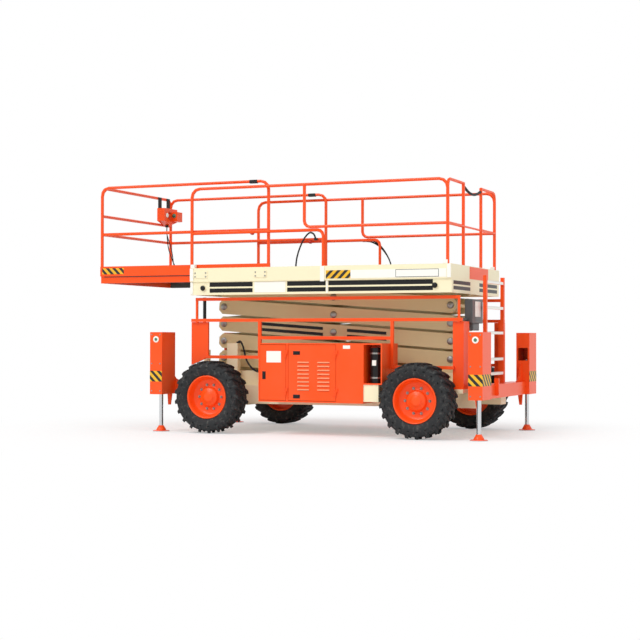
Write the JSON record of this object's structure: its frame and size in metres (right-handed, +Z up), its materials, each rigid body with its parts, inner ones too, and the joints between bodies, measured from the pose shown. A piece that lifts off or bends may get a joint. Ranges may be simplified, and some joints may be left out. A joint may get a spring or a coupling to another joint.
{
  "type": "rough-terrain scissor lift",
  "caption": "Wheeled scissor lift: folded scissor stack under a railed work deck with a roll-out end, levelling jacks at the corners, engine box and entry ladder.",
  "frame": {"origin": "middle of the outer box at ground level", "axes": "+X along the machine towards the ladder end, +Y towards the tank box side, +Z up"},
  "size_m": [4.9242, 2.34, 2.9406],
  "materials": {
    "orange_paint": "semi-gloss orange enamel",
    "red_paint": "semi-gloss red enamel",
    "cream_paint": "semi-gloss cream enamel",
    "tan_paint": "semi-gloss tan enamel",
    "bare_steel": "machined steel",
    "black_paint": "black enamel",
    "hard_chrome": "hard chrome plate",
    "tyre_rubber": "black tyre rubber",
    "hose_rubber": "black hose rubber"
  },
  "bodies": {
    "chassis": {"chassis_frame": "cream_paint", "front_axle": "cream_paint", "rear_axle": "cream_paint", "guard_rail_near": "red_paint", "guard_rail_far": "red_paint", "engine_box": "orange_paint", "engine_block": "bare_steel", "recess_canister": "black_paint", "recess_box": "cream_paint", "tank_box": "orange_paint", "jack_beam_front": "orange_paint", "jack_beam_rear": "orange_paint", "ladder": "orange_paint", "safety_prop": "black_paint", "engine_hose": "hose_rubber"},
    "knuckle_near": {"steer_knuckle_near": "bare_steel"},
    "knuckle_far": {"steer_knuckle_far": "bare_steel"},
    "wheel_front_near": {"tyre_front_near": "tyre_rubber", "rim_front_near": "orange_paint"},
    "wheel_front_far": {"tyre_front_far": "tyre_rubber", "rim_front_far": "orange_paint"},
    "wheel_rear_near": {"tyre_rear_near": "tyre_rubber", "rim_rear_near": "orange_paint"},
    "wheel_rear_far": {"tyre_rear_far": "tyre_rubber", "rim_rear_far": "orange_paint"},
    "jack_front_near": {"jack_leg_front_near": "hard_chrome"},
    "jack_front_far": {"jack_leg_front_far": "hard_chrome"},
    "jack_rear_near": {"jack_leg_rear_near": "hard_chrome"},
    "jack_rear_far": {"jack_leg_rear_far": "hard_chrome"},
    "engine_door_small": {"engine_door_small": "orange_paint"},
    "engine_door_louvred": {"engine_door_louvred": "orange_paint"},
    "outer_1": {"outer_arms_1": "tan_paint"},
    "inner_1": {"inner_arms_1": "tan_paint"},
    "outer_2": {"outer_arms_2": "tan_paint"},
    "inner_2": {"inner_arms_2": "tan_paint"},
    "outer_3": {"outer_arms_3": "tan_paint"},
    "inner_3": {"inner_arms_3": "tan_paint"},
    "outer_4": {"outer_arms_4": "tan_paint"},
    "inner_4": {"inner_arms_4": "tan_paint"},
    "outer_5": {"outer_arms_5": "tan_paint"},
    "inner_5": {"inner_arms_5": "tan_paint"},
    "platform": {"deck": "cream_paint", "main_rails": "orange_paint", "gate_chain": "hose_rubber", "deck_hoses": "hose_rubber"},
    "extension": {"extension_deck": "orange_paint", "extension_rails": "orange_paint", "control_box": "orange_paint", "control_cables": "hose_rubber", "extension_hose": "hose_rubber"},
    "barrel": {"lift_barrel": "black_paint"},
    "ram": {"lift_rod": "hard_chrome"}
  },
  "joints": [
    {"name": "steer", "type": "hinge", "parent": "chassis", "child": "knuckle_near", "pos_m": [-0.85707, -0.745, 0.42], "axis": [0, 0, 1], "range_deg": [-30, 30]},
    {"name": "steer_far", "type": "hinge", "parent": "chassis", "child": "knuckle_far", "pos_m": [-0.85707, 0.745, 0.42], "axis": [0, 0, 1], "range_deg": [-30, 30]},
    {"name": "spin_front_near", "type": "hinge", "parent": "knuckle_near", "child": "wheel_front_near", "pos_m": [-0.85707, -1.015, 0.42], "axis": [0, 1, 0], "continuous": true},
    {"name": "spin_front_far", "type": "hinge", "parent": "knuckle_far", "child": "wheel_front_far", "pos_m": [-0.85707, 1.015, 0.42], "axis": [0, 1, 0], "continuous": true},
    {"name": "spin_rear_near", "type": "hinge", "parent": "chassis", "child": "wheel_rear_near", "pos_m": [1.68293, -1.015, 0.42], "axis": [0, 1, 0], "continuous": true},
    {"name": "spin_rear_far", "type": "hinge", "parent": "chassis", "child": "wheel_rear_far", "pos_m": [1.68293, 1.015, 0.42], "axis": [0, 1, 0], "continuous": true},
    {"name": "jack_front_near", "type": "slide", "parent": "chassis", "child": "jack_front_near", "axis": [0, 0, 1], "range_m": [-0.15, 0.3]},
    {"name": "jack_front_far", "type": "slide", "parent": "chassis", "child": "jack_front_far", "axis": [0, 0, 1], "range_m": [-0.15, 0.3]},
    {"name": "jack_rear_near", "type": "slide", "parent": "chassis", "child": "jack_rear_near", "axis": [0, 0, 1], "range_m": [-0.15, 0.3]},
    {"name": "jack_rear_far", "type": "slide", "parent": "chassis", "child": "jack_rear_far", "axis": [0, 0, 1], "range_m": [-0.15, 0.3]},
    {"name": "engine_door_small_hinge", "type": "hinge", "parent": "chassis", "child": "engine_door_small", "pos_m": [0.13043, -1.1105, 0.7], "axis": [0, 0, 1], "range_deg": [0, 110]},
    {"name": "engine_door_louvred_hinge", "type": "hinge", "parent": "chassis", "child": "engine_door_louvred", "pos_m": [0.74143, -1.1105, 0.7], "axis": [0, 0, 1], "range_deg": [0, 110]},
    {"name": "lift", "type": "hinge", "parent": "chassis", "child": "outer_1", "pos_m": [1.84426, 0, 0.66], "axis": [0, 1, 0], "range_deg": [0, 49]},
    {"name": "cross_1", "type": "hinge", "parent": "outer_1", "child": "inner_1", "pos_m": [0.41293, 0, 0.7625], "axis": [0, 1, 0], "range_deg": [-98.5, 0]},
    {"name": "fold_2", "type": "hinge", "parent": "outer_1", "child": "inner_2", "pos_m": [-1.01841, 0, 0.865], "axis": [0, 1, 0], "range_deg": [-98.5, 0]},
    {"name": "cross_2", "type": "hinge", "parent": "inner_2", "child": "outer_2", "pos_m": [0.41293, 0, 0.9675], "axis": [0, 1, 0], "range_deg": [0, 98.5]},
    {"name": "fold_3", "type": "hinge", "parent": "inner_2", "child": "outer_3", "pos_m": [1.84426, 0, 1.07], "axis": [0, 1, 0], "range_deg": [0, 98.5]},
    {"name": "cross_3", "type": "hinge", "parent": "outer_3", "child": "inner_3", "pos_m": [0.41293, 0, 1.1725], "axis": [0, 1, 0], "range_deg": [-98.5, 0]},
    {"name": "fold_4", "type": "hinge", "parent": "outer_3", "child": "inner_4", "pos_m": [-1.01841, 0, 1.275], "axis": [0, 1, 0], "range_deg": [-98.5, 0]},
    {"name": "cross_4", "type": "hinge", "parent": "inner_4", "child": "outer_4", "pos_m": [0.41293, 0, 1.3775], "axis": [0, 1, 0], "range_deg": [0, 98.5]},
    {"name": "fold_5", "type": "hinge", "parent": "inner_4", "child": "outer_5", "pos_m": [1.84426, 0, 1.48], "axis": [0, 1, 0], "range_deg": [0, 98.5]},
    {"name": "cross_5", "type": "hinge", "parent": "outer_5", "child": "inner_5", "pos_m": [0.41293, 0, 1.5825], "axis": [0, 1, 0], "range_deg": [-98.5, 0]},
    {"name": "deck_pivot", "type": "hinge", "parent": "inner_5", "child": "platform", "pos_m": [1.84426, 0, 1.685], "axis": [0, 1, 0], "range_deg": [0, 49.5]},
    {"name": "deck_extension", "type": "slide", "parent": "platform", "child": "extension", "axis": [1, 0, 0], "range_m": [0, 1.2]},
    {"name": "barrel_pivot", "type": "hinge", "parent": "inner_1", "child": "barrel", "pos_m": [-0.73771, 0, 0.73023], "axis": [0, 1, 0], "range_deg": [-15.01, 0]},
    {"name": "ram_stroke", "type": "slide", "parent": "barrel", "child": "ram", "axis": [0.9937, 0, 0.112], "range_m": [0, 2.01866]}
  ],
  "couplings": [
    {"joint": "steer_far", "follows": "steer", "ratio": 1},
    {"joint": "cross_1", "follows": "lift", "ratio": -2},
    {"joint": "fold_2", "follows": "lift", "ratio": -2},
    {"joint": "cross_2", "follows": "lift", "ratio": 2},
    {"joint": "fold_3", "follows": "lift", "ratio": 2},
    {"joint": "cross_3", "follows": "lift", "ratio": -2},
    {"joint": "fold_4", "follows": "lift", "ratio": -2},
    {"joint": "cross_4", "follows": "lift", "ratio": 2},
    {"joint": "fold_5", "follows": "lift", "ratio": 2},
    {"joint": "cross_5", "follows": "lift", "ratio": -2},
    {"joint": "deck_pivot", "follows": "lift", "ratio": 1},
    {"joint": "barrel_pivot", "follows": "lift", "ratio": -0.30023},
    {"joint": "ram_stroke", "follows": "lift", "m_per_rad": 2.3487}
  ]
}
